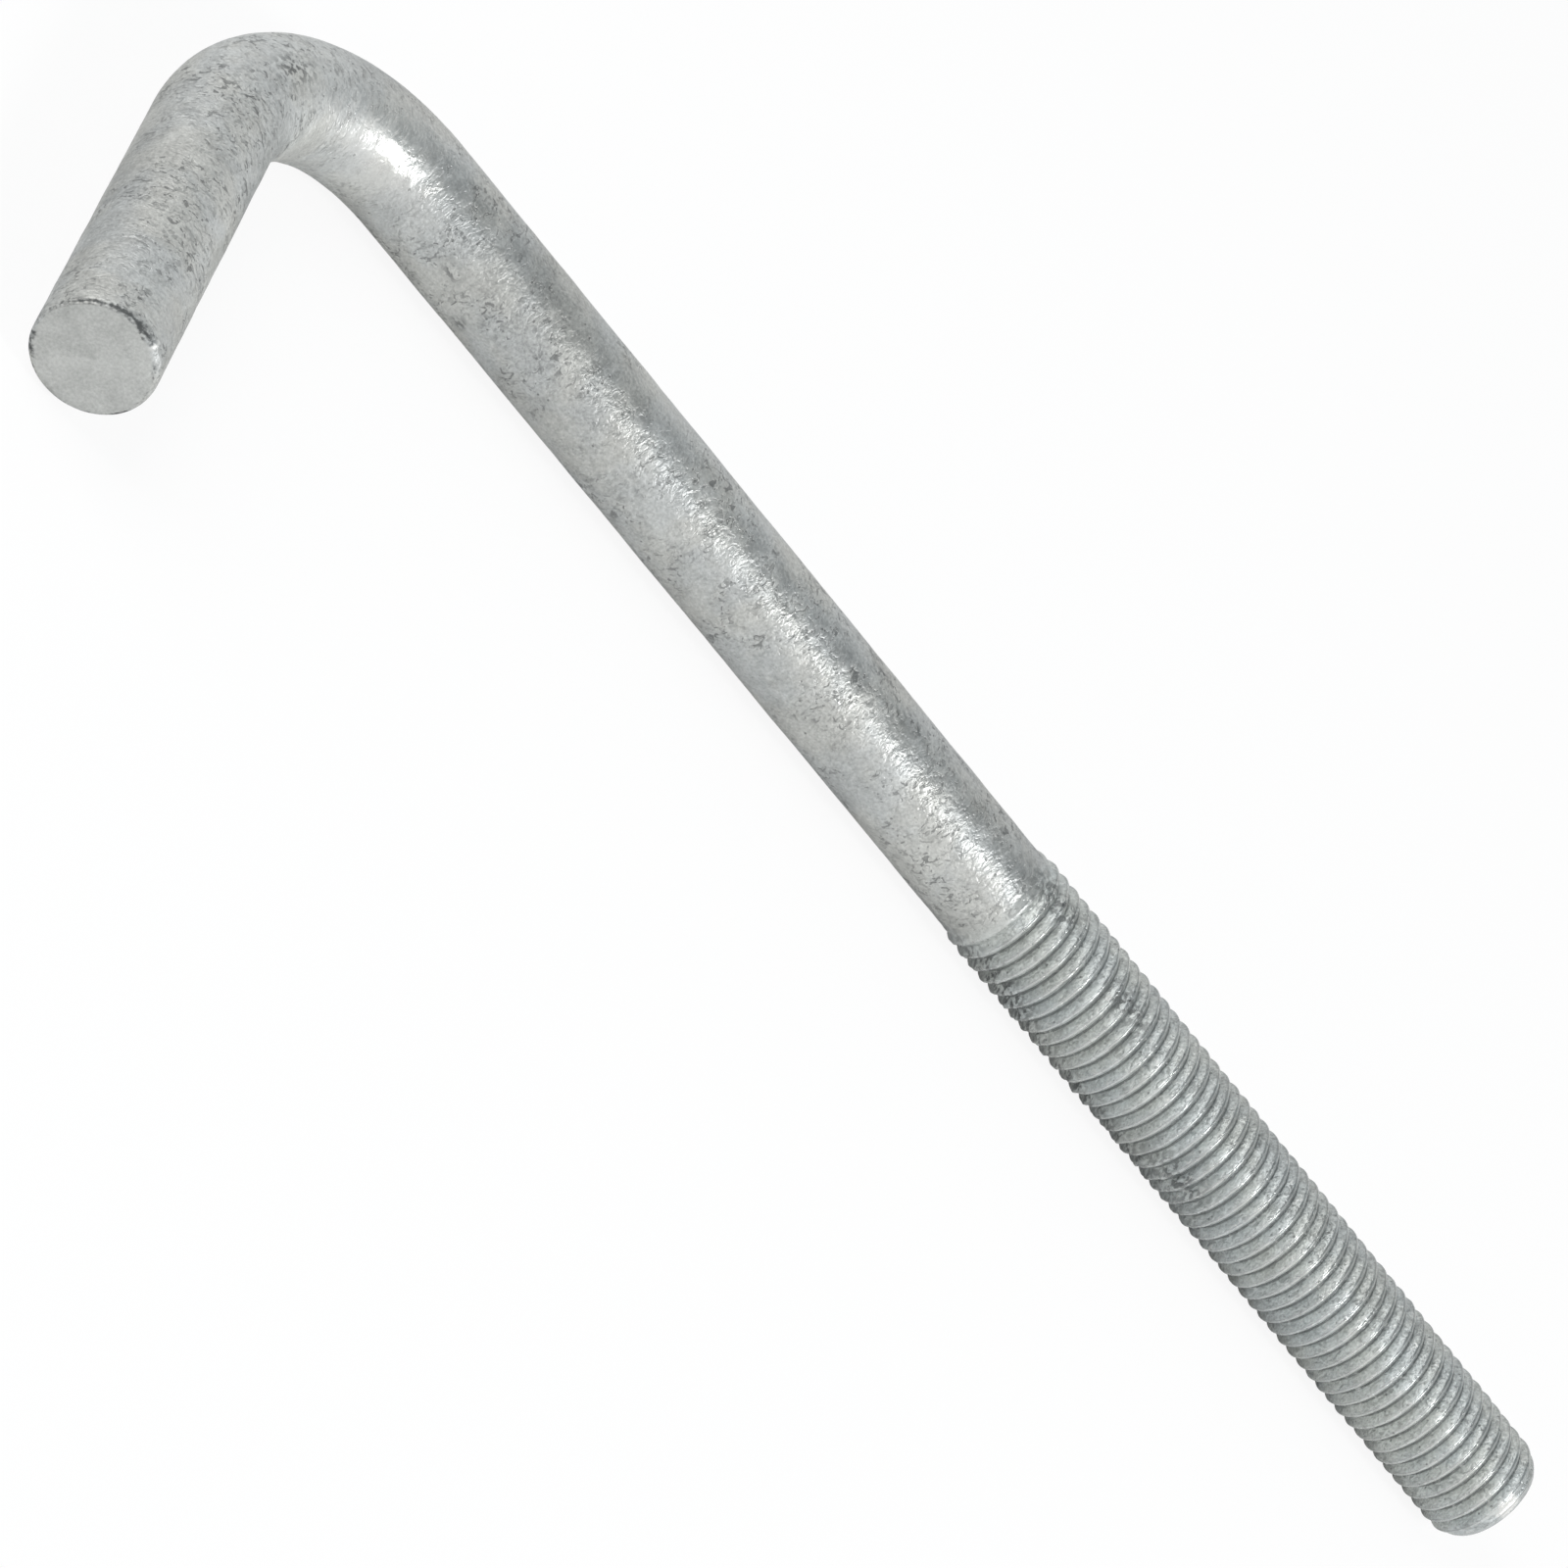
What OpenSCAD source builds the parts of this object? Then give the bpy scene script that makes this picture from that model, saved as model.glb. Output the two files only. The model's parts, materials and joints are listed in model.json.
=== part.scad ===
// L-shaped anchor bolt: one round steel bar, bent square into a hook at one end and threaded at the other.
// It lies on its side on the plane z = 0. The thread points along +X and the hook along -Y.

/* [Bar] */
// Diameter of the plain bar
bar_diameter = 17.4; // [10:0.1:18.8]
// Length from the outside of the hook to the tip of the thread
overall_length = 304.8; // [220:0.1:600]

/* [Hook] */
// Length from the outside of the shank to the end of the hook
hook_length = 95; // [70:0.5:200]
// Radius of the inside of the bend
bend_inner_radius = 22.8; // [12:0.1:60]
// Rounding of the rim at the sheared end of the hook
sheared_rim_radius = 0.7; // [0.2:0.1:3]

/* [Thread] */
// Diameter over the thread crests
thread_diameter = 19.05; // [18.8:0.05:26]
// Length from the start of the run-out to the tip
thread_length = 129.4; // [40:0.1:200]
// Distance from one turn of the thread to the next
thread_pitch = 2.54; // [1.8:0.01:4]
// Depth of the groove between two turns
thread_depth = 1.4; // [0.5:0.05:2]
// Width of the flat on each crest and in each root
thread_flat = 0.2; // [0.1:0.01:0.3]
// Length over which the thread runs out into the plain bar
runout_length = 3.8; // [0.5:0.1:15]
// Length of the chamfer at the tip
tip_length = 2.8; // [0.5:0.1:12]
// Diameter of the flat face at the tip
tip_diameter = 16.2; // [8:0.1:18.5]

/* [Hidden] */
$fn = 96;
bar_radius = bar_diameter / 2;
bend_radius = bend_inner_radius + bar_radius;

// The straight stretches on either side of the bend
hook_straight = hook_length - bar_radius - bend_radius;
shank_straight = overall_length - bar_radius - bend_radius;

// The thread's stretches, measured along the shank from the bend
runout_start = shank_straight - thread_length;
thread_start = runout_start + runout_length;
tip_start = shank_straight - tip_length;

// The thread's section
crest_radius = thread_diameter / 2;
root_radius = crest_radius - thread_depth;
tip_radius = tip_diameter / 2;
turn_count = ceil(thread_length / thread_pitch);

// The thread climbs in steps: a turn is made of sectors, each a step further along the shank than the last
turn_sectors = 8;
sector_angle = 360 / turn_sectors;
// Where the first groove leaves the start of the run-out, as a share of a turn: on the side away from the hook
start_turn = 0.25;

// The middle of the bolt's outline seen from above, measured from the middle of the bend
widest_radius = max(bar_radius, crest_radius);
middle_x = (shank_straight - bend_radius - bar_radius) / 2;
middle_y = (bend_radius + widest_radius - hook_straight) / 2;

// The straight end of the hook, from the bend at z = 0 up to the sheared face with its rounded rim
module hook_end() {
    rotate_extrude() {
        square([bar_radius, hook_straight - sheared_rim_radius]);
        square([bar_radius - sheared_rim_radius, hook_straight]);
        translate([bar_radius - sheared_rim_radius, hook_straight - sheared_rim_radius])
            intersection() {
                circle(r = sheared_rim_radius);
                square(sheared_rim_radius);
            }
    }
}

// The quarter turn between the shank and the hook, about the z axis
module bend() {
    rotate([0, 0, 90])
        rotate_extrude(angle = 90)
            translate([bend_radius, 0])
                circle(r = bar_radius);
}

// Radius over the crests at a height along the shank: it swells over the run-out and shrinks to the tip
function crest_at(height) = lookup(height, [
    [runout_start, bar_radius],
    [thread_start, crest_radius],
    [tip_start, crest_radius],
    [shank_straight, tip_radius],
]);

// Radius in the roots, which sink from the bar's surface over the run-out
function root_at(height) = min(crest_at(height), lookup(height, [
    [runout_start, bar_radius],
    [thread_start, root_radius],
]));

// Height of the first crest in a sector, true at the sector's middle
function first_crest(sector) =
    runout_start + ((sector + 0.5) / turn_sectors - start_turn + 0.5) * thread_pitch;

// Corners of one turn's section with its crest at a height, from the groove below to the groove above
function turn_corners(crest) =
    let (crest_half = thread_flat / 2, root_half = (thread_pitch - thread_flat) / 2)
    [
        [root_at(crest - root_half), crest - root_half],
        [crest_at(crest - crest_half), crest - crest_half],
        [crest_at(crest + crest_half), crest + crest_half],
        [root_at(crest + root_half), crest + root_half],
    ];

// Half section of the threaded end in a sector, with the corners that lie clear of both its ends
module thread_section(sector) {
    low = runout_start + thread_flat;
    high = shank_straight - thread_flat;
    polygon([
        [0, runout_start],
        [bar_radius, runout_start],
        for (turn = [-1 : turn_count])
            for (corner = turn_corners(first_crest(sector) + turn * thread_pitch))
                if (corner.y > low && corner.y < high) corner,
        [tip_radius, shank_straight],
        [0, shank_straight],
    ]);
}

// From the bend at z = 0: the plain shank, then the right-hand thread, sector by sector
module shank() {
    cylinder(r = bar_radius, h = runout_start);
    for (sector = [0 : turn_sectors - 1])
        rotate_extrude(angle = sector_angle, start = sector * sector_angle)
            thread_section(sector);
}

module anchor_bolt() {
    color("silver")
        translate([-middle_x, -middle_y, widest_radius]) {
            bend();
            translate([0, bend_radius, 0])
                rotate([0, 90, 0])
                    shank();
            translate([-bend_radius, 0, 0])
                rotate([90, 0, 0])
                    hook_end();
        }
}

anchor_bolt();
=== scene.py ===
"""Looks of the L-shaped anchor bolt: a hot-dip galvanised bar with its rolled thread as a true helix."""

import json
import math
from collections import namedtuple

import bpy
import numpy as np
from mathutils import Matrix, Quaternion, Vector, noise


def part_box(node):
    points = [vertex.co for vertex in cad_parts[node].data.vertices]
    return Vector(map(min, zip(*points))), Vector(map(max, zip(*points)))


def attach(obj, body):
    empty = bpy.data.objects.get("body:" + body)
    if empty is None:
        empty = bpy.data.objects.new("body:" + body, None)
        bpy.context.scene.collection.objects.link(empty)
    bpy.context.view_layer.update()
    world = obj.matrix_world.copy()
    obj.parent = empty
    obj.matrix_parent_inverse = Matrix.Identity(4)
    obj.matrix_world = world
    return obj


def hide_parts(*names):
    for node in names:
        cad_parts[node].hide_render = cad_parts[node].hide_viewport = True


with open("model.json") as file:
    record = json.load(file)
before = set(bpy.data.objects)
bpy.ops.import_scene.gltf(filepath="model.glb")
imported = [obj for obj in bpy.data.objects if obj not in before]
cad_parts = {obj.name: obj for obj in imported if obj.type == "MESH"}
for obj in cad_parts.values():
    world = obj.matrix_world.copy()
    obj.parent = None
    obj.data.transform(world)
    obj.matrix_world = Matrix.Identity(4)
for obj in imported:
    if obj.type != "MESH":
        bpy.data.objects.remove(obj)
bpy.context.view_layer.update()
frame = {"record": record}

NODE = "anchor_bolt"
MM = 0.001
TURN = 2 * math.pi

# Sizes of the bolt, in metres. What the frame states is read from it.
BAR_RADIUS = 8.7 * MM
BEND_INNER_RADIUS = 22.8 * MM
THREAD_LENGTH = 129.4 * MM
RUNOUT_LENGTH = 3.8 * MM
TIP_LENGTH = 2.8 * MM
TIP_RADIUS = 8.1 * MM
TIP_CURVE = 1.6

# The rolled thread: ten turns to the inch, with flats as shares of the pitch
PITCH = 2.54 * MM
THREAD_DEPTH = 1.5 * MM
CREST_SHARE = 0.10
ROOT_SHARE = 0.09
EDGE_SHARE = 0.02
FADE_IN_LENGTH = 6.0 * MM
FADE_OUT_START = 1.6 * PITCH
FADE_OUT_END = 0.1 * PITCH

box_low, box_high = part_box(NODE)
thread_mount = next(m for m in frame["record"]["mounts"] if m["name"] == "thread")
THREAD_RADIUS = thread_mount["dims"]["r_mm"] * MM
AXIS_Y, AXIS_Z = thread_mount["pos_m"][1:]

BEND_RADIUS = BEND_INNER_RADIUS + BAR_RADIUS
BEND_LENGTH = BEND_RADIUS * TURN / 4
BEND_CENTRE = np.array([box_low.x + BAR_RADIUS + BEND_RADIUS, AXIS_Y - BEND_RADIUS, AXIS_Z])

# Places along the bar's centre line, measured from the sheared end of the hook
HOOK_LENGTH = BEND_CENTRE[1] - box_low.y
SHANK_START = HOOK_LENGTH + BEND_LENGTH
BAR_LENGTH = SHANK_START + box_high.x - BEND_CENTRE[0]
THREAD_START = BAR_LENGTH - THREAD_LENGTH

# Steps of the mesh
SIDES = 96
ANGLES = np.arange(SIDES) / SIDES * TURN
RING_STEP = 1.0 * MM
CAP_RINGS = 14
ROOT_ROWS, FLANK_ROWS, CREST_ROWS = 3, 4, 3
RIM_STEPS = 5
END_STEPS = 10
FORM_STEPS = 1000
ROUNDING_STEPS = 81

# The sheared end of the hook: its rim is rounded unevenly, more on the side where the blade came in
END_LENGTH = 3.0 * MM
LEAST_RIM = 0.5 * MM
EXTRA_RIM = 0.7 * MM
BLADE_ANGLE = math.radians(130)
BLADE_SPREAD = math.radians(45)
RIM_RADIUS = LEAST_RIM + EXTRA_RIM * np.exp(-(((ANGLES - BLADE_ANGLE) / BLADE_SPREAD) ** 2))
CRACK_DEPTH = 0.16 * MM

# The zinc coat: sizes of its lumps, and how far each kind moves the surface
LUMP_SIZE = 6 * MM
RIPPLE_SIZE = 2.6 * MM
PEEL_SIZE = 1.3 * MM
LUMP_HEIGHT = 0.05 * MM
RIPPLE_HEIGHT = 0.03 * MM
PEEL_HEIGHT = 0.012 * MM
FACE_HEIGHT = 0.05 * MM
DROSS_PEEL = 0.30 * MM
DROSS_RIPPLE = 0.14 * MM
DROSS_FILL = 0.14 * MM
DRIP_HEIGHT = 0.2 * MM

# The thread's coat is rougher, so it is set in to stay clear of the floor, and its upper side is fuller
THREAD_ROUGHER = 0.5
THREAD_INSET = 0.08 * MM
FILLED_DEPTH = 0.3
# The filled tone also eases the painted shade in the roots and the painted light on the flanks on the upper
# side
FILLED_TONE = 0.05

# Stretches round the bar, with the width over which each fades. The hairline is the crack's faint end.
Arc = namedtuple("Arc", "start_degrees end_degrees soft_degrees")
FILLED_ARC = Arc(55, 118, 20)
CRACK_ARC = Arc(10, 104, 5)
HAIRLINE_ARC = Arc(-25, 10, 5)
BLOTCH_ARCS = (Arc(300, 346, 10), Arc(88, 106, 5))
SPATTER_ARC = Arc(66, 106, 12)
# Painted shade on the lower side of the end's rim
UNDERSIDE_SHADE_ARC = Arc(170, 320, 25)

# Soft marks on the surface, placed by their distance from the hook's end and their angle round the bar
Spot = namedtuple("Spot", "along_mm degrees half_length_mm half_width_mm strength", defaults=(1.0,))
DARK_SPOTS = (
    Spot(67.8, 86, 5.0, 3.0),
    Spot(114.5, 172, 1.8, 1.2),
    Spot(121.8, 204, 1.4, 1.4),
    Spot(126.0, 116, 0.8, 0.8),
    Spot(138.0, 192, 1.4, 1.6),
    Spot(142.2, 88, 1.2, 0.8),
    Spot(156.0, 166, 0.7, 0.7),
    Spot(199.0, 76, 1.0, 1.2),
    Spot(202.2, 88, 1.6, 1.0),
    Spot(207.0, 110, 1.6, 0.8),
    Spot(210.5, 102, 2.2, 1.2),
    Spot(214.5, 222, 2.0, 1.2),
    Spot(221.5, 74, 2.5, 0.8),
)
DROSS_SPOTS = (
    Spot(246.0, 104, 7.0, 3.5),
    Spot(250.0, 206, 9.0, 3.0),
    Spot(265.0, 116, 6.0, 3.0),
    Spot(276.0, 224, 32.0, 2.6),
    Spot(292.0, 188, 7.0, 3.0),
)
DRIP_SPOTS = (
    Spot(0.8, 108, 0.9, 0.55),
    # At the tip: bright zinc, partly a painted highlight on the chamfer
    Spot(367.3, 140, 1.6, 2.6),
)
# A strength below 0 is darker in the first list and duller in the second
# Lighter and darker patches: partly the zinc's own tone, partly painted light and shade on sides of the bar.
# The three long spots at 305 to 310 mm are painted shade in stripes along the thread's edges as seen from
# the front and above.
PALE_AND_SHADED_SPOTS = (
    Spot(27.0, 15, 32.0, 5.0, -1.5),
    Spot(27.0, 118, 25.0, 3.5, 1.8),
    Spot(70.0, 154, 9.0, 5.0, 2.6),
    Spot(72.0, 95, 16.0, 16.0, 1.0),
    Spot(88.0, 72, 10.0, 5.0, -1.6),
    Spot(88.0, 196, 9.0, 5.5, 2.2),
    Spot(110.0, 150, 8.0, 7.0, -0.5),
    Spot(110.0, 190, 7.0, 5.0, 1.0),
    Spot(122.0, 195, 14.0, 6.0, 1.2),
    Spot(126.0, 140, 16.0, 12.0, -1.5),
    Spot(228.0, 187, 10.0, 6.0, 0.9),
    Spot(305.0, 76, 75.0, 3.2, -2.0),
    Spot(305.0, 234, 75.0, 2.6, -1.8),
    Spot(310.0, 113, 75.0, 2.8, -1.3),
)
# The first spot also lightens the zinc's colour on the bend, as a painted highlight
GLOSS_SPOTS = (
    Spot(92.0, 142, 14.0, 8.0, 1.0),
    Spot(126.0, 140, 16.0, 14.0, -0.6),
)


def smooth_step(value, start, end):
    """Eased ramp from 0 at start to 1 at end."""
    t = np.clip((value - start) / (end - start), 0, 1)
    return t * t * (3 - 2 * t)


def noise_at(points, size, seed):
    """Soft noise from about -1 to 1 with lumps of about that size, in metres."""
    shift = Vector((seed * 7.13, seed * 3.71, seed * 5.39))
    return np.array([noise.noise(Vector(p) / size + shift) for p in points])


def place(along, angle, radius):
    """Points round the bar's centre line. Angle 0 is the outside of the bend, and a quarter turn is up."""
    turned = np.clip((along - HOOK_LENGTH) / BEND_RADIUS, 0, TURN / 4)
    straight = np.minimum(along - HOOK_LENGTH, 0) + np.maximum(along - SHANK_START, 0)
    flat = np.zeros_like(turned)
    outward = np.stack([-np.cos(turned), np.sin(turned), flat], -1)
    forward = np.stack([np.sin(turned), np.cos(turned), flat], -1)
    centre = BEND_CENTRE + BEND_RADIUS * outward + straight[:, None] * forward
    up = np.array([0.0, 0.0, 1.0])
    spoke = np.cos(angle)[:, None] * outward + np.sin(angle)[:, None] * up
    return centre + radius[:, None] * spoke


def turned_from(angle, middle):
    """How far an angle lies from another, from half a turn back to half a turn on."""
    return (angle - middle + TURN / 2) % TURN - TURN / 2


def arc_share(angle, arc):
    """1 inside an arc round the bar, eased to 0 at both its ends."""
    middle = math.radians((arc.start_degrees + arc.end_degrees) / 2)
    half = math.radians((arc.end_degrees - arc.start_degrees) / 2)
    soft = math.radians(arc.soft_degrees)
    return 1 - smooth_step(np.abs(turned_from(angle, middle)), half - soft, half + soft)


def sum_of_spots(spots, along, angle):
    """Strengths of soft spots, added up. Each is full in its middle and fades over its half sizes."""
    total = 0.0
    for spot in spots:
        off_along = (along - spot.along_mm * MM) / (spot.half_length_mm * MM)
        off_round = turned_from(angle, math.radians(spot.degrees)) * BAR_RADIUS / (spot.half_width_mm * MM)
        total = total + spot.strength * np.exp(-off_along**2 - off_round**2)
    return total


def thread_form(phase):
    """Share of the thread's depth at a phase of the pitch: 0 on the crest at 0.5, 1 in the root at 0."""
    fine = np.linspace(-1, 2, 3 * FORM_STEPS + 1)
    off_crest = np.abs(fine % 1 - 0.5) * 2
    sharp = np.clip((off_crest - CREST_SHARE) / (1 - CREST_SHARE - ROOT_SHARE), 0, 1)
    window = np.hanning(ROUNDING_STEPS)
    rounded = np.convolve(sharp, window / window.sum(), "same")
    return np.interp(phase % 1, fine, rounded)


def thread_phases():
    """Rows of one pitch, closer together on the crest and in the root than on the flanks."""
    root_edge = ROOT_SHARE / 2 + EDGE_SHARE
    crest_edge = 0.5 - CREST_SHARE / 2 - EDGE_SHARE
    root = np.linspace(0, root_edge, ROOT_ROWS)[:-1]
    rise = np.linspace(root_edge, crest_edge, FLANK_ROWS)[:-1]
    crest = np.linspace(crest_edge, 1 - crest_edge, CREST_ROWS)[:-1]
    half = np.concatenate([root, rise])
    fall = 1 - half[:0:-1]
    return np.concatenate([half, crest, [1 - crest_edge], fall])


def crest_radius(along):
    """Radius over the crests: it swells out of the plain bar and ends in the rounded chamfer of the tip."""
    swell = smooth_step(along, THREAD_START, THREAD_START + RUNOUT_LENGTH)
    radius = BAR_RADIUS + (THREAD_RADIUS - BAR_RADIUS) * swell
    to_tip = np.clip((along - BAR_LENGTH + TIP_LENGTH) / TIP_LENGTH, 0, 1)
    return radius - (THREAD_RADIUS - TIP_RADIUS) * to_tip**TIP_CURVE


def groove_depth(along):
    """Depth of the groove under the crests: shallow in the run-out, and gone at the tip."""
    fade_in = smooth_step(along, THREAD_START, THREAD_START + FADE_IN_LENGTH)
    fade_out = 1 - smooth_step(along, BAR_LENGTH - FADE_OUT_START, BAR_LENGTH - FADE_OUT_END)
    return THREAD_DEPTH * fade_in * fade_out


class MeshParts:
    """Vertices by their place on the bar, and faces between them, as they are added."""

    def __init__(self):
        self.rows = []
        self.faces = []
        self.count = 0

    def add(self, along, angle, radius, groove=0.0, face=0.0):
        """Adds vertices and returns the number of the first. Face is 1 on an end face, 0 on the side."""
        block = np.stack(np.broadcast_arrays(along, angle, radius, groove, face), -1).astype(float)
        first = self.count
        self.rows.append(block)
        self.count += len(block)
        return first

    def add_ring(self, along, radius, face=0.0):
        """Adds one vertex per side, all round the bar, and returns their numbers."""
        first = self.add(along, ANGLES, radius, 0.0, face)
        return list(range(first, first + SIDES))

    def strip(self, lower, upper):
        """Quads between two rings of vertex numbers."""
        for j in range(SIDES):
            k = (j + 1) % SIDES
            self.faces.append((lower[j], lower[k], upper[k], upper[j]))

    def cap(self, rim, along, radius, is_start):
        """End face: rings from the rim to the middle."""
        last = rim
        for i in range(1, CAP_RINGS):
            inner = self.add_ring(along, radius * (1 - i / CAP_RINGS), 1.0)
            pair = (inner, last) if is_start else (last, inner)
            self.strip(*pair)
            last = inner
        middle = self.add(np.array([along]), 0.0, 0.0, 0.0, 1.0)
        for j in range(SIDES):
            k = (j + 1) % SIDES
            edge = (last[k], last[j]) if is_start else (last[j], last[k])
            self.faces.append((*edge, middle))


def add_plain_bar(parts):
    """The hook, the bend and the plain shank up to the thread. Returns the last ring."""
    face_radius = BAR_RADIUS - RIM_RADIUS
    ring = parts.add_ring(0.0, face_radius, 1.0)
    parts.cap(ring, 0.0, face_radius, True)
    turns = np.linspace(0, TURN / 4, RIM_STEPS + 1)[1:]
    places = [(RIM_RADIUS * (1 - math.cos(t)), face_radius + RIM_RADIUS * math.sin(t)) for t in turns]
    near_end = np.linspace(0, 1, END_STEPS + 1)[1:, None]
    places += list(zip(RIM_RADIUS + (END_LENGTH - RIM_RADIUS) * near_end, [BAR_RADIUS] * END_STEPS))
    steps = round((THREAD_START - END_LENGTH) / RING_STEP)
    places += [(along, BAR_RADIUS) for along in np.linspace(END_LENGTH, THREAD_START, steps + 1)[1:]]
    for along, radius in places:
        new = parts.add_ring(along, radius)
        parts.strip(ring, new)
        ring = new
    return ring


def add_thread(parts, start_ring):
    """The threaded length as rows that follow the helix, so that crests and roots are whole edges."""
    form_phases = thread_phases()
    rows_per_pitch = len(form_phases)
    pitches = math.ceil((BAR_LENGTH - THREAD_START) / PITCH) + 1
    rows = (np.arange(-1, pitches)[:, None] + form_phases[None, :]).ravel()
    row_grid, turn_grid = np.meshgrid(rows, np.arange(SIDES) / SIDES, indexing="ij")
    along = THREAD_START + (row_grid + turn_grid) * PITCH
    snap = 0.02 * PITCH
    at_start = along < THREAD_START + snap
    at_end = along > BAR_LENGTH - snap
    inner = ~(at_start | at_end)
    angle = turn_grid * TURN
    filled = arc_share(angle, FILLED_ARC)
    depth = groove_depth(along) * thread_form(row_grid)
    groove = depth / THREAD_DEPTH * (1 - FILLED_TONE * filled)
    radius = crest_radius(along) - depth * (1 - FILLED_DEPTH * filled)
    end_ring = parts.add_ring(BAR_LENGTH, TIP_RADIUS)
    first = parts.add(along[inner], angle[inner], radius[inner], groove[inner])

    # Vertices past either end fall together on that end's ring
    number = np.empty(along.shape, int)
    number[inner] = first + np.arange(inner.sum())
    for j in range(SIDES):
        number[at_start[:, j], j] = start_ring[j]
        number[at_end[:, j], j] = end_ring[j]
    for i in range(len(rows) - 1):
        for j in range(SIDES):
            k, shift = (j + 1, 0) if j + 1 < SIDES else (0, rows_per_pitch)
            if i + 1 + shift >= len(rows):
                continue
            corners = (number[i, j], number[i + shift, k], number[i + 1 + shift, k], number[i + 1, j])
            kept = tuple(dict.fromkeys(int(c) for c in corners))
            if len(kept) > 2:
                parts.faces.append(kept)
    return end_ring


def crack_share(along, angle, ripple, peel):
    """The crack that the shear left round part of the end's rim: 1 in its middle, 0 away from it. Its dark
    colour is painted shade in the shallow crack.
    """
    middle = (0.5 + 0.4 * ripple + 0.2 * peel) * MM
    width = (0.42 + 0.24 * peel) * MM
    reach = arc_share(angle, CRACK_ARC) + 0.5 * arc_share(angle, HAIRLINE_ARC)
    unbroken = np.clip(1.1 + 0.7 * peel, 0, 1)
    return np.exp(-(((along - middle) / width) ** 2)) * reach * unbroken


def blotch_share(along, angle, radius, peel):
    """Dark blotches beside the crack, on the rim and the edge of the end face."""
    near_end = 1 - smooth_step(along, 0.4 * MM, 2.0 * MM)
    near_rim = smooth_step(radius, BAR_RADIUS - 1.5 * MM, BAR_RADIUS - 0.6 * MM)
    patchy = 0.75 * smooth_step(peel, -0.2, 0.3)
    return sum(arc_share(angle, arc) for arc in BLOTCH_ARCS) * near_end * near_rim * patchy


def spatter_share(along, angle):
    """A faint spatter on the side of the bar, behind the crack's end."""
    near_end = 1 - smooth_step(along, 1.0 * MM, 3.0 * MM)
    return 0.5 * arc_share(angle, SPATTER_ARC) * near_end


def grime_and_shade_share(along, angle, ripple):
    """Darkening round the end's rim, in patches: partly grime, partly painted shade, with more painted shade
    on the lower side.
    """
    on_rim = 1 - smooth_step(along, 0.2 * MM, 1.2 * MM)
    patchy = smooth_step(ripple, -0.4, 0.4)
    return on_rim * patchy * (0.5 + 0.25 * arc_share(angle, UNDERSIDE_SHADE_ARC))


def dress(parts):
    """Lays the zinc's unevenness and marks on the plain form.

    Returns the points, their places in the bar as it was before bending, and vertex values.
    """
    along, angle, radius, groove, face = np.concatenate(parts.rows).T
    side = 1 - face
    points = place(along, angle, radius)
    lumps = noise_at(points, LUMP_SIZE, 1)
    ripple = noise_at(points, RIPPLE_SIZE, 2)
    peel = noise_at(points, PEEL_SIZE, 3)
    threaded = smooth_step(along, THREAD_START, THREAD_START + RUNOUT_LENGTH)

    # Rough dross on some turns of the thread
    dross = np.clip(sum_of_spots(DROSS_SPOTS, along, angle), 0, 1)
    radius = radius + dross * (DROSS_PEEL * peel + DROSS_RIPPLE * ripple + DROSS_FILL * groove)

    # The crack in the end's rim, darkened as painted shade, and the stains in and beside it, with grime and
    # painted shade round the rim
    crack = crack_share(along, angle, ripple, peel) * side
    stain_and_shade_parts = (
        crack,
        blotch_share(along, angle, radius, peel),
        spatter_share(along, angle) * side,
        grime_and_shade_share(along, angle, ripple) * side,
    )
    radius = radius - CRACK_DEPTH * crack

    # Drips of bright zinc; the patch at the tip is partly a painted highlight on the chamfer
    drips = np.clip(sum_of_spots(DRIP_SPOTS, along, angle), 0, 1)
    fresh = smooth_step(drips + 0.3 * peel, 0.3, 0.6) * side
    radius = radius + DRIP_HEIGHT * fresh * (1 - threaded)

    # The coat's lumps, across the bar on its side and along it on the end faces
    coat = LUMP_HEIGHT * lumps + RIPPLE_HEIGHT * ripple + PEEL_HEIGHT * peel
    coat = coat * (1 + THREAD_ROUGHER * threaded) - THREAD_INSET * threaded
    radius = radius + coat * side * smooth_step(radius, 0, BAR_RADIUS / 2)
    along = along + FACE_HEIGHT * (lumps + ripple) * face

    values = {
        "groove": groove,
        "thread": threaded,
        "face": face,
        # lighter and darker patches, partly painted light and shade on sides of the bar
        "pale": sum_of_spots(PALE_AND_SHADED_SPOTS, along, angle),
        "stain": np.max(stain_and_shade_parts, 0),
        "scar": np.maximum(np.clip(sum_of_spots(DARK_SPOTS, along, angle), 0, 1), dross),
        "fresh": fresh,
        "gloss": sum_of_spots(GLOSS_SPOTS, along, angle),
    }
    straightened = np.stack([along, radius * np.cos(angle), radius * np.sin(angle)], -1)
    return place(along, angle, radius), straightened, values


def build_bolt():
    """The whole bolt as one closed mesh, with the vertex values that its material reads."""
    parts = MeshParts()
    last_ring = add_plain_bar(parts)
    end_ring = add_thread(parts, last_ring)
    parts.cap(end_ring, BAR_LENGTH, TIP_RADIUS, False)
    points, straightened, values = dress(parts)
    mesh = bpy.data.meshes.new("galvanised_bolt")
    mesh.from_pydata(points.tolist(), [], parts.faces)
    for name, value in values.items():
        mesh.attributes.new(name, "FLOAT", "POINT").data.foreach_set("value", value.astype(np.float32))
    before_bending = mesh.attributes.new("straightened", "FLOAT_VECTOR", "POINT")
    before_bending.data.foreach_set("vector", straightened.astype(np.float32).ravel())
    mesh.shade_smooth()
    bolt = bpy.data.objects.new("galvanised_bolt", mesh)
    bpy.context.scene.collection.objects.link(bolt)
    return bolt


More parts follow.
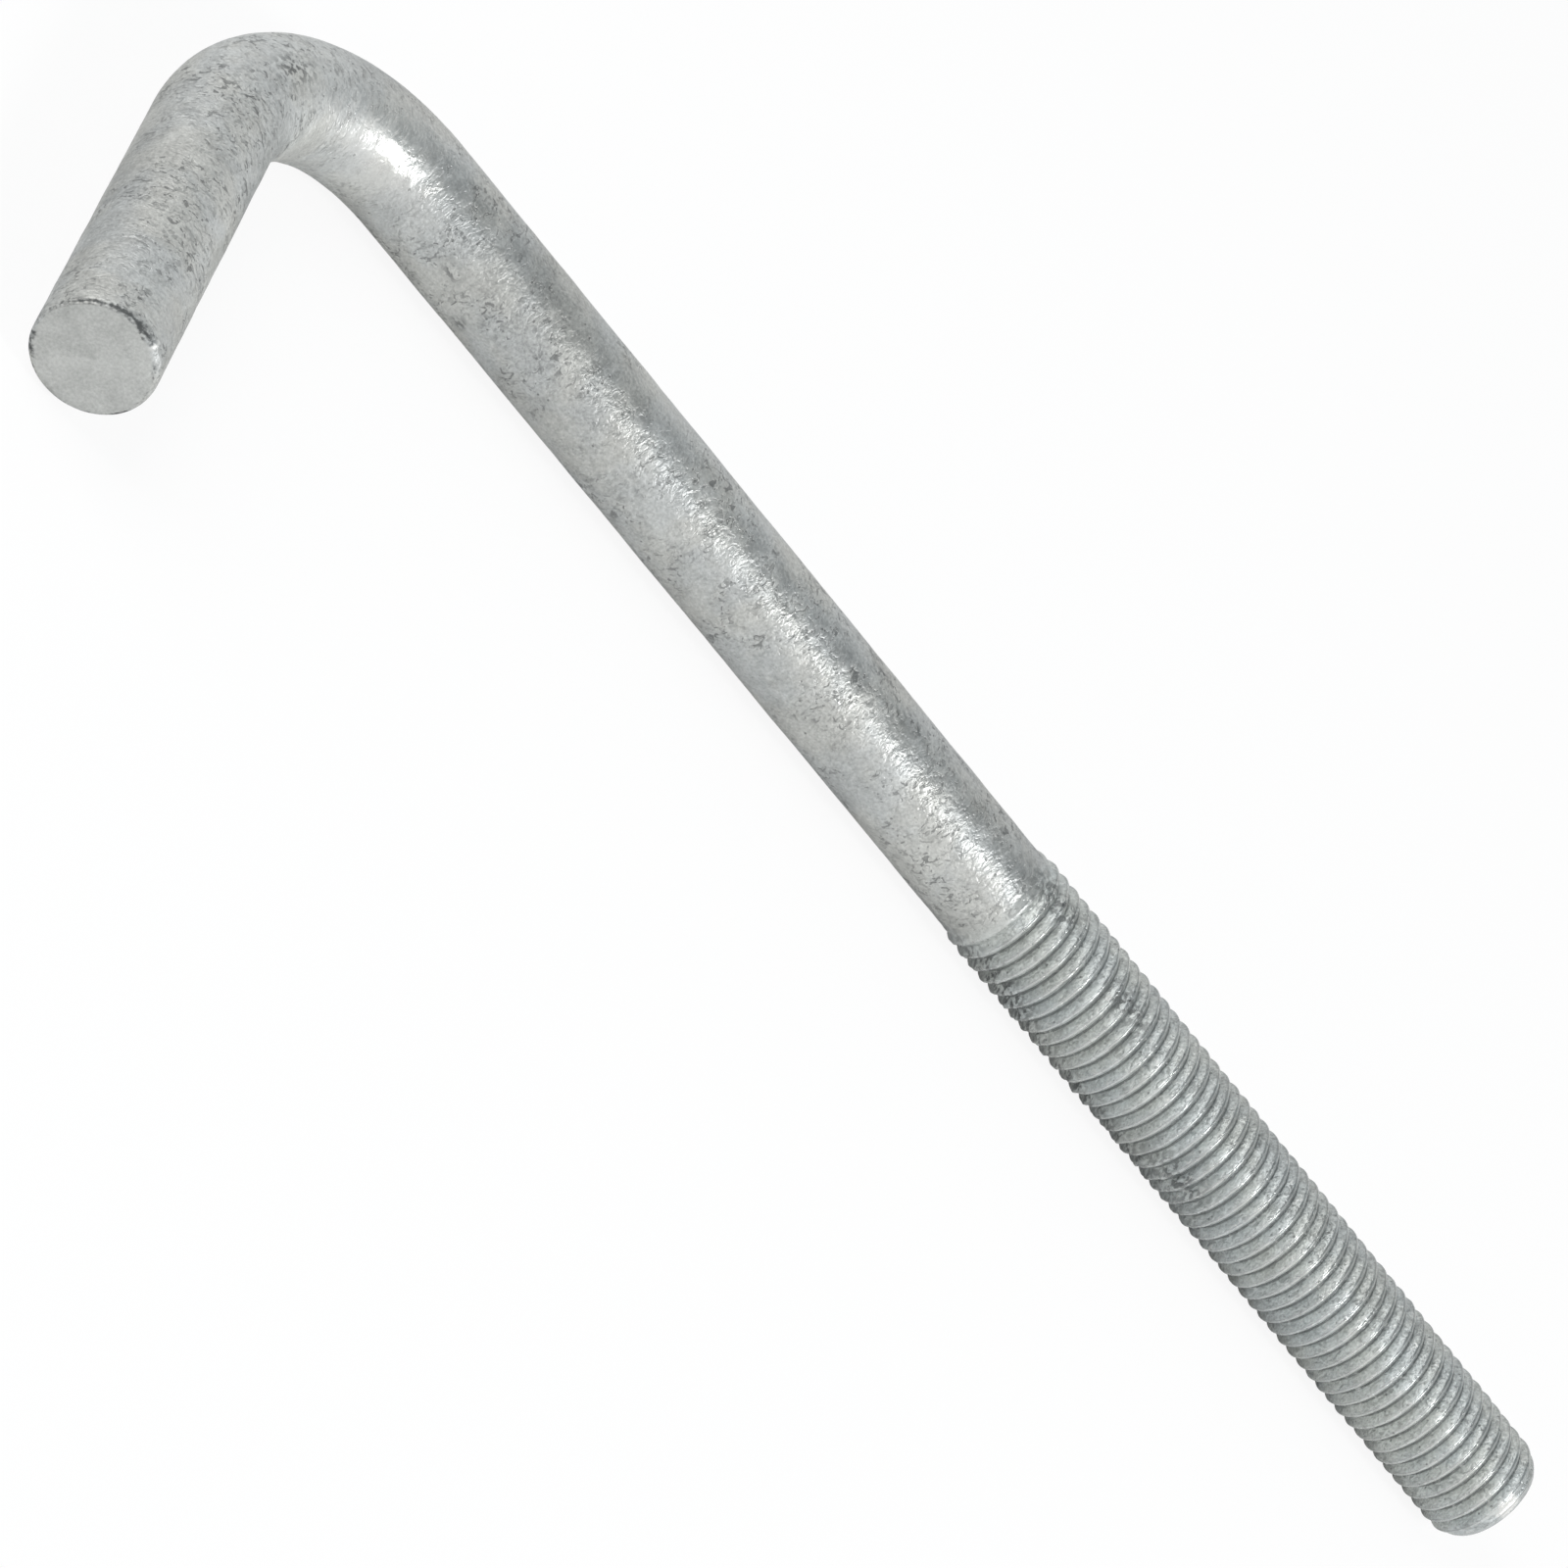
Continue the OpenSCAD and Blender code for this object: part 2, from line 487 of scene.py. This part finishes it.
class NodeTree:
    """Adds shader nodes with their inputs given by name, as values or as sockets to link."""

    def __init__(self, tree):
        self.tree = tree

    def add(self, kind, inputs=None, **settings):
        """Adds a node of a kind and returns it."""
        node = self.tree.nodes.new(kind)
        for name, value in settings.items():
            setattr(node, name, value)
        for name, value in (inputs or {}).items():
            self.set(node.inputs[name], value)
        return node

    def set(self, socket, value):
        """Links a socket to another, or gives it a value."""
        if isinstance(value, bpy.types.NodeSocket):
            self.tree.links.new(value, socket)
        else:
            socket.default_value = value

    def vertex_value(self, name, output="Fac"):
        """A value that the mesh carries at its vertices."""
        return self.add("ShaderNodeAttribute", attribute_name=name).outputs[output]

    def math(self, operation, first, second=0.0, third=0.0, clamp=False):
        inputs = {0: first, 1: second, 2: third}
        return self.add("ShaderNodeMath", inputs, operation=operation, use_clamp=clamp).outputs[0]

    def times(self, first, second):
        return self.math("MULTIPLY", first, second)

    def plus(self, base, value, share):
        """Base plus a share of a value."""
        return self.math("MULTIPLY_ADD", value, share, base)

    def highest(self, first, *others):
        """The highest of two or more values."""
        for other in others:
            first = self.math("MAXIMUM", first, other)
        return first

    def vector(self, operation, first, second):
        return self.add("ShaderNodeVectorMath", {0: first, 1: second}, operation=operation).outputs[0]

    def noise(self, place, size, detail=3.0, roughness=0.55, distortion=0.0):
        """Noise from 0 to 1 with features of about that size, in metres."""
        inputs = {"Vector": place, "Scale": 1 / size, "Detail": detail}
        inputs.update({"Roughness": roughness, "Distortion": distortion})
        return self.add("ShaderNodeTexNoise", inputs).outputs["Fac"]

    def band(self, value, low, high, start=0.0, end=1.0):
        """Eased ramp from start, where a value is low, to end, where it is high."""
        inputs = {"Value": value, "From Min": low, "From Max": high, "To Min": start, "To Max": end}
        return self.add("ShaderNodeMapRange", inputs, interpolation_type="SMOOTHSTEP").outputs[0]

    def mix(self, factor, first, second):
        """Colour between two others."""
        node = self.add("ShaderNodeMix", data_type="RGBA")
        self.set(node.inputs[0], factor)
        self.set(node.inputs[6], first)
        self.set(node.inputs[7], second)
        return node.outputs[2]

    def shade(self, colour, factor):
        """Colour times a grey factor."""
        node = self.add("ShaderNodeVectorMath", {0: colour, 3: factor}, operation="SCALE")
        return node.outputs[0]


# Colours of the zinc
COOL_ZINC = (0.464, 0.476, 0.471, 1)
WARM_ZINC = (0.483, 0.486, 0.466, 1)
# Dark colour for marks and for painted shade
DARK_MARK_AND_SHADE = (0.09, 0.094, 0.094, 1)
# Bright colour for bright zinc and for painted highlights
BRIGHT_ZINC_AND_HIGHLIGHT = (0.72, 0.72, 0.70, 1)
THREAD_TINT = (1.04, 1.07, 1.075)
FACE_WARMTH = 0.7

# How light the zinc is, as a factor on its colour
BASE_LIGHT = 0.70
# Painted light and shade on sides of the bar, with the zinc's own lighter and darker patches
PALE_AND_SHADED_LIGHT = 0.13
MOTTLE_LIGHT = 0.60
GRAIN_LIGHT = 0.9
THREAD_GRAIN = 0.3
CREST_GRAIN = -1.0
FACE_GRAIN = -0.3
# Painted light on the thread's flanks, lighter away from the crests
FLANK_PAINTED_LIGHT = 1.18

# How much of the dark colour each kind of mark and painted shade takes, and of the bright colour each kind
# of bright zinc and painted highlight
# Hollows and sunk marks: partly dirt, partly painted shade
HOLLOW_DARK = 0.68
PIT_DARK = 0.6
SPECK_DARK = 0.85
# Stains, with painted shade in the crack and round the rim
STAIN_AND_SHADE_DARK = 0.95
# Painted shade in the thread's roots
ROOT_SHADE = 0.72
# Crests: partly wear, partly a painted highlight line
CREST_WEAR_AND_HIGHLIGHT = 0.15
# Polished stretches, lightened as a painted highlight
POLISH_AND_HIGHLIGHT_BRIGHT = 0.5
FLECK_BRIGHT = 0.5

# How dark the hollows are made, partly dirt and partly painted shade: in clusters, a little less on the
# shank, and all over the thread
LEAST_DARKENING = 0.05
SHANK_DARKENING = 0.9
THREAD_DARKENING = 0.65
SAND_DARKENING = 0.5
DARKENING_FADE_LENGTH = 20 * MM

# Sizes of the patterns
CLOUD_SIZE = 11 * MM
CLUSTER_SIZE = 9 * MM
MOTTLE_SIZE = 3.4 * MM
SWELL_SIZE = 3.0 * MM
MARK_SIZE = 1.5 * MM
PIT_CELL_SIZE = 1.5 * MM
SAND_SIZE = 1.4 * MM
SPECK_SIZE = 0.9 * MM
RAGGED_SIZE = 0.6 * MM
GRAIN_SIZE = 0.45 * MM

# The second place for noise is shifted, so that it doesn't repeat the first, and squeezed along the bar
NOISE_SHIFT = (3.1, 1.7, 2.3)
NOISE_SQUEEZE = (1.5, 1.0, 1.0)

# Relief in millimetres, as the bump's distance is one, and roughness
SWELL_RELIEF = 0.2
SAND_RELIEF = 0.15
GRAIN_RELIEF = 0.05
POLISH_GRAIN_RELIEF = -0.03
THREAD_GRAIN_RELIEF = 0.09
MARK_RELIEF = -0.08
FACE_SMOOTHER = -0.7
WORN_SMOOTHER = -0.55
LOW_ROUGHNESS = 0.36
HIGH_ROUGHNESS = 0.48
STAIN_ROUGHER = 0.3
POLISH_GLOSSIER = -0.12
CREST_GLOSSIER = -0.18


class ZincSurface:
    """Shader sockets of the galvanised zinc, from vertex values and noise on the bar before bending."""

    def __init__(self, tree):
        self.tree = tree
        self.groove = tree.vertex_value("groove")
        self.thread = tree.vertex_value("thread")
        self.face = tree.vertex_value("face")
        self.pale = tree.vertex_value("pale")
        self.stain = tree.vertex_value("stain")
        self.scar = tree.vertex_value("scar")
        self.fresh = tree.vertex_value("fresh")
        self.gloss = tree.vertex_value("gloss")
        self.here = tree.vertex_value("straightened", "Vector")
        self.elsewhere = tree.vector("ADD", self.here, NOISE_SHIFT)
        squeezed = tree.vector("MULTIPLY", self.elsewhere, NOISE_SQUEEZE)
        self.mottle = tree.noise(self.here, MOTTLE_SIZE, detail=4, roughness=0.62)
        self.sand = tree.noise(squeezed, SAND_SIZE, detail=1.6, roughness=0.55, distortion=1.1)
        self.marks = tree.noise(squeezed, MARK_SIZE, detail=2, roughness=0.6, distortion=0.9)
        self.grain = tree.noise(self.elsewhere, GRAIN_SIZE, detail=2, roughness=0.65)
        self.side = tree.math("SUBTRACT", 1.0, self.face)
        self.polished = tree.highest(self.gloss, 0.0)
        self.crest = tree.times(tree.band(self.groove, 0.14, 0.04), self.thread)
        grain_share = tree.plus(GRAIN_LIGHT, self.thread, THREAD_GRAIN)
        grain_share = tree.plus(grain_share, self.crest, CREST_GRAIN)
        self.grain_share = tree.plus(grain_share, self.face, FACE_GRAIN)
        self.hollows = self.darkened_hollows()
        self.pits = self.round_pits()
        speckled = tree.band(tree.noise(self.elsewhere, SPECK_SIZE, detail=2), 0.46, 0.58)
        self.specks = tree.times(speckled, self.scar)

    def darkened_hollows(self):
        """Darkening in the hollows of the sand and in the sunk marks, partly dirt and partly painted shade,
        in clusters on the bar and everywhere on the thread.
        """
        tree = self.tree
        along = tree.add("ShaderNodeSeparateXYZ", {0: self.here}).outputs["X"]
        cluster = tree.band(tree.noise(self.elsewhere, CLUSTER_SIZE, detail=2), 0.38, 0.60, start=LEAST_DARKENING)
        fade_start = SHANK_START - DARKENING_FADE_LENGTH
        cluster = tree.times(cluster, tree.band(along, fade_start, SHANK_START, start=1.0, end=SHANK_DARKENING))
        cluster = tree.highest(cluster, tree.times(self.thread, THREAD_DARKENING))
        cluster = tree.times(cluster, tree.math("SUBTRACT", self.side, self.polished, clamp=True))
        bar = tree.math("SUBTRACT", 1.0, self.thread)
        bar_marks = tree.times(tree.band(self.marks, 0.43, 0.35), bar)
        sandy = tree.times(tree.band(self.sand, 0.46, 0.35), SAND_DARKENING)
        return tree.times(tree.highest(bar_marks, sandy), cluster)

    def round_pits(self):
        """Small round pits in some of the cells of a pattern, in more of them on the thread."""
        tree = self.tree
        cells = tree.add("ShaderNodeTexVoronoi", {"Vector": self.here, "Scale": 1 / PIT_CELL_SIZE})
        draw = tree.add("ShaderNodeSeparateColor", {0: cells.outputs["Color"]}).outputs[0]
        drawn = tree.band(tree.plus(draw, self.thread, 0.3), 0.75, 0.77)
        round_cells = tree.band(cells.outputs["Distance"], 0.18, 0.08)
        return tree.times(tree.times(round_cells, drawn), self.side)

    def zinc_colour(self):
        """Clouds of cooler and warmer zinc, with lighter and darker mottling and a fine grain. The pale
        spots are partly painted light and shade on sides of the bar, and the thread's flanks are painted
        lighter away from the crests.
        """
        tree = self.tree
        clouds = tree.band(tree.noise(self.here, CLOUD_SIZE, detail=3), 0.38, 0.62)
        clouds = tree.plus(tree.times(clouds, self.side), self.face, FACE_WARMTH)
        colour = tree.mix(clouds, COOL_ZINC, WARM_ZINC)
        colour = tree.mix(self.thread, colour, tree.vector("MULTIPLY", colour, THREAD_TINT))
        # pale spots: the zinc's patches, and painted light and shade on sides of the bar
        light = tree.plus(BASE_LIGHT, self.pale, PALE_AND_SHADED_LIGHT)
        light = tree.plus(light, self.mottle, MOTTLE_LIGHT)
        light = tree.plus(light, tree.math("SUBTRACT", self.grain, 0.5), self.grain_share)
        # painted light on the thread's flanks, away from the crests
        light = tree.times(light, tree.band(self.groove, 0.1, 0.6, start=1.0, end=FLANK_PAINTED_LIGHT))
        return tree.shade(colour, light)

    def dark_share(self):
        """How dark the zinc is made: dirt and painted shade in the hollows, pits, specks in the scars,
        ragged stains, painted shade in the crack and round the rim, and painted shade in the thread's roots.
        """
        tree = self.tree
        ragged = tree.noise(self.here, RAGGED_SIZE, detail=2, roughness=0.6)
        ragged = tree.math("MULTIPLY_ADD", ragged, 1.6, -0.8)
        ragged = tree.math("ADD", tree.times(ragged, tree.band(self.stain, 0.05, 0.3)), self.stain)
        return tree.highest(
            # hollows and sunk marks: partly dirt, partly painted shade
            tree.times(self.hollows, HOLLOW_DARK),
            tree.times(self.pits, PIT_DARK),
            tree.times(self.specks, SPECK_DARK),
            # stains, with painted shade in the crack and round the rim
            tree.band(ragged, 0.25, 0.95, end=STAIN_AND_SHADE_DARK),
            # painted shade in the thread's roots
            tree.band(self.groove, 0.86, 0.98, end=ROOT_SHADE),
        )

    def bright_share(self):
        """How bright the zinc is: worn crests with a painted highlight line, polished stretches lightened as
        a painted highlight, flecks on the thread, and drips, the one at the tip partly a painted highlight.
        """
        tree = self.tree
        return tree.highest(
            # crests: partly wear, partly a painted highlight line
            tree.times(self.crest, CREST_WEAR_AND_HIGHLIGHT),
            # polished stretches, lightened as a painted highlight
            tree.times(self.polished, POLISH_AND_HIGHLIGHT_BRIGHT),
            tree.times(tree.band(self.sand, 0.62, 0.72), tree.times(self.thread, FLECK_BRIGHT)),
            # drips, the one at the tip partly a painted highlight
            self.fresh,
        )

    def normal(self):
        """Relief that breaks up the gloss, with the marks sunk into it."""
        tree = self.tree
        relief = tree.plus(1.0, self.face, FACE_SMOOTHER)
        relief = tree.plus(relief, tree.highest(self.polished, self.crest), WORN_SMOOTHER)
        grain_relief = tree.plus(GRAIN_RELIEF, self.polished, POLISH_GRAIN_RELIEF)
        grain_relief = tree.plus(grain_relief, self.thread, THREAD_GRAIN_RELIEF)
        grain_relief = tree.times(grain_relief, self.grain_share)
        height = tree.times(tree.noise(self.here, SWELL_SIZE, detail=1.5), SWELL_RELIEF)
        height = tree.plus(height, tree.times(self.sand, relief), SAND_RELIEF)
        height = tree.plus(height, self.grain, grain_relief)
        height = tree.plus(height, tree.highest(self.hollows, self.pits, self.specks), MARK_RELIEF)
        return tree.add("ShaderNodeBump", {"Height": height, "Strength": 1.0, "Distance": MM}).outputs[0]

    def roughness(self):
        """Uneven gloss: duller in the stains, glossier where the zinc is polished and on the crests."""
        tree = self.tree
        rough = tree.band(self.mottle, 0.3, 0.7, start=LOW_ROUGHNESS, end=HIGH_ROUGHNESS)
        rough = tree.plus(rough, self.stain, STAIN_ROUGHER)
        rough = tree.plus(rough, self.gloss, POLISH_GLOSSIER)
        return tree.plus(rough, self.crest, CREST_GLOSSIER)


def galvanised_material():
    """Dull grey zinc, between bare metal and its own pale skin."""
    material = bpy.data.materials.new("galvanised_zinc")
    material.use_nodes = True
    tree = NodeTree(material.node_tree)
    surface = ZincSurface(tree)
    colour = tree.mix(surface.dark_share(), surface.zinc_colour(), DARK_MARK_AND_SHADE)
    colour = tree.mix(surface.bright_share(), colour, BRIGHT_ZINC_AND_HIGHLIGHT)
    shader = material.node_tree.nodes["Principled BSDF"]
    tree.set(shader.inputs["Base Color"], colour)
    tree.set(shader.inputs["Roughness"], surface.roughness())
    tree.set(shader.inputs["Normal"], surface.normal())
    shader.inputs["Metallic"].default_value = 0.6
    shader.inputs["Specular IOR Level"].default_value = 0.15
    shader.inputs["Specular Tint"].default_value = (0.75, 0.75, 0.75, 1)
    return material


WHITE = (1, 1, 1, 1)

# The floor's grey, and how much of its look is plain white for the camera, and in mirrors and glass
FLOOR_HALF_SIZE = 4.0
FLOOR_GREY = (0.86, 0.86, 0.86, 1)
SEEN_WHITE = 0.9
MIRRORED_WHITE = 0.1


def background_share(tree):
    """How much of the floor's look is plain white: more for the camera, less in mirrors and glass."""
    path = tree.add("ShaderNodeLightPath")
    seen = tree.times(path.outputs["Is Camera Ray"], SEEN_WHITE)
    mirrored = tree.highest(path.outputs["Is Glossy Ray"], path.outputs["Is Transmission Ray"])
    return tree.plus(seen, mirrored, MIRRORED_WHITE)


def add_floor():
    """A pale floor that reads as white and still takes the bolt's shadow."""
    half = FLOOR_HALF_SIZE
    corners = [(-half, -half, 0), (half, -half, 0), (half, half, 0), (-half, half, 0)]
    mesh = bpy.data.meshes.new("floor")
    mesh.from_pydata(corners, [], [(0, 1, 2, 3)])
    floor = bpy.data.objects.new("floor", mesh)
    bpy.context.scene.collection.objects.link(floor)
    material = bpy.data.materials.new("pale_floor")
    material.use_nodes = True
    tree = NodeTree(material.node_tree)
    matt = material.node_tree.nodes["Principled BSDF"]
    matt.inputs["Base Color"].default_value = FLOOR_GREY
    matt.inputs["Roughness"].default_value = 1.0
    matt.inputs["Specular IOR Level"].default_value = 0.0
    white = tree.add("ShaderNodeEmission", {"Color": WHITE, "Strength": 1.0})
    share = background_share(tree)
    mixed = tree.add("ShaderNodeMixShader", {0: share, 1: matt.outputs[0], 2: white.outputs[0]})
    output = material.node_tree.nodes["Material Output"]
    tree.set(output.inputs["Surface"], mixed.outputs[0])
    mesh.materials.append(material)


# The photograph's view, in metres and degrees, with the lens and sensor in millimetres
CAMERA_AIM = Vector((-0.01776, 0.01367, 0.009525))
CAMERA_DISTANCE = 1.0576
CAMERA_AZIMUTH = math.radians(-25.56)
CAMERA_ELEVATION = math.radians(29.81)
CAMERA_ROLL = math.radians(63.72)
CAMERA_LENS = 174.3
CAMERA_SENSOR = 36
CAMERA_NEAR = 0.01


def add_camera():
    """The camera, aimed at the bolt's middle from the front and above, and rolled."""
    level = math.cos(CAMERA_ELEVATION)
    sideways = math.sin(CAMERA_AZIMUTH) * level
    forwards = -math.cos(CAMERA_AZIMUTH) * level
    back = Vector((sideways, forwards, math.sin(CAMERA_ELEVATION)))
    camera = bpy.data.objects.new("camera", bpy.data.cameras.new("camera"))
    camera.data.sensor_width = CAMERA_SENSOR
    camera.data.lens = CAMERA_LENS
    camera.data.clip_start = CAMERA_NEAR
    camera.location = CAMERA_AIM + back * CAMERA_DISTANCE
    upright = (-back).to_track_quat("-Z", "Y")
    camera.rotation_mode = "QUATERNION"
    camera.rotation_quaternion = upright @ Quaternion((0, 0, 1), CAMERA_ROLL)
    bpy.context.scene.collection.objects.link(camera)
    bpy.context.scene.camera = camera


# The studio round the bolt: bright walls, dimmer where x is low, under a dark and bluish ceiling.
# The ceiling's start and end are heights on a sphere of radius 1.
CEILING_START = 0.62
CEILING_END = 0.88
CEILING_TINT = (0.55, 0.93, 1.1, 1)
WALL_LIGHT = 1.14
LEAST_LIGHT = 0.06


def add_lamp(name, direction, distance, width, height, watts):
    """A soft box that looks at the bolt from a direction."""
    lamp = bpy.data.objects.new(name, bpy.data.lights.new(name, "AREA"))
    lamp.data.shape = "RECTANGLE"
    lamp.data.size = width
    lamp.data.size_y = height
    lamp.data.energy = watts
    towards = Vector(direction).normalized()
    lamp.location = towards * distance
    lamp.rotation_euler = (-towards).to_track_quat("-Z", "Y").to_euler()
    bpy.context.scene.collection.objects.link(lamp)


def add_lights():
    """Two soft boxes and the studio's own light."""
    add_lamp("key", (0.60, -0.41, 0.68), distance=1.0, width=0.25, height=0.2, watts=4.2)
    add_lamp("side_box", (-0.835, 0.0, 0.55), distance=1.2, width=0.95, height=0.95, watts=10.4)
    world = bpy.data.worlds.new("studio")
    world.use_nodes = True
    tree = NodeTree(world.node_tree)
    direction = tree.add("ShaderNodeTexCoord").outputs["Generated"]
    x, y, z = tree.add("ShaderNodeSeparateXYZ", {0: direction}).outputs
    walls = tree.highest(tree.math("ABSOLUTE", y), x)
    wall_light = tree.band(z, CEILING_START, CEILING_END, start=WALL_LIGHT, end=0.0)
    ceiling = tree.band(z, CEILING_START, CEILING_END)
    background = world.node_tree.nodes["Background"]
    tree.set(background.inputs["Color"], tree.mix(ceiling, WHITE, CEILING_TINT))
    tree.set(background.inputs["Strength"], tree.plus(LEAST_LIGHT, wall_light, walls))
    bpy.context.scene.world = world


bolt = build_bolt()
bolt.data.materials.append(galvanised_material())
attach(bolt, "root")
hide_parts(NODE)
add_floor()
add_lights()
add_camera()
bpy.context.scene.view_settings.view_transform = "Standard"
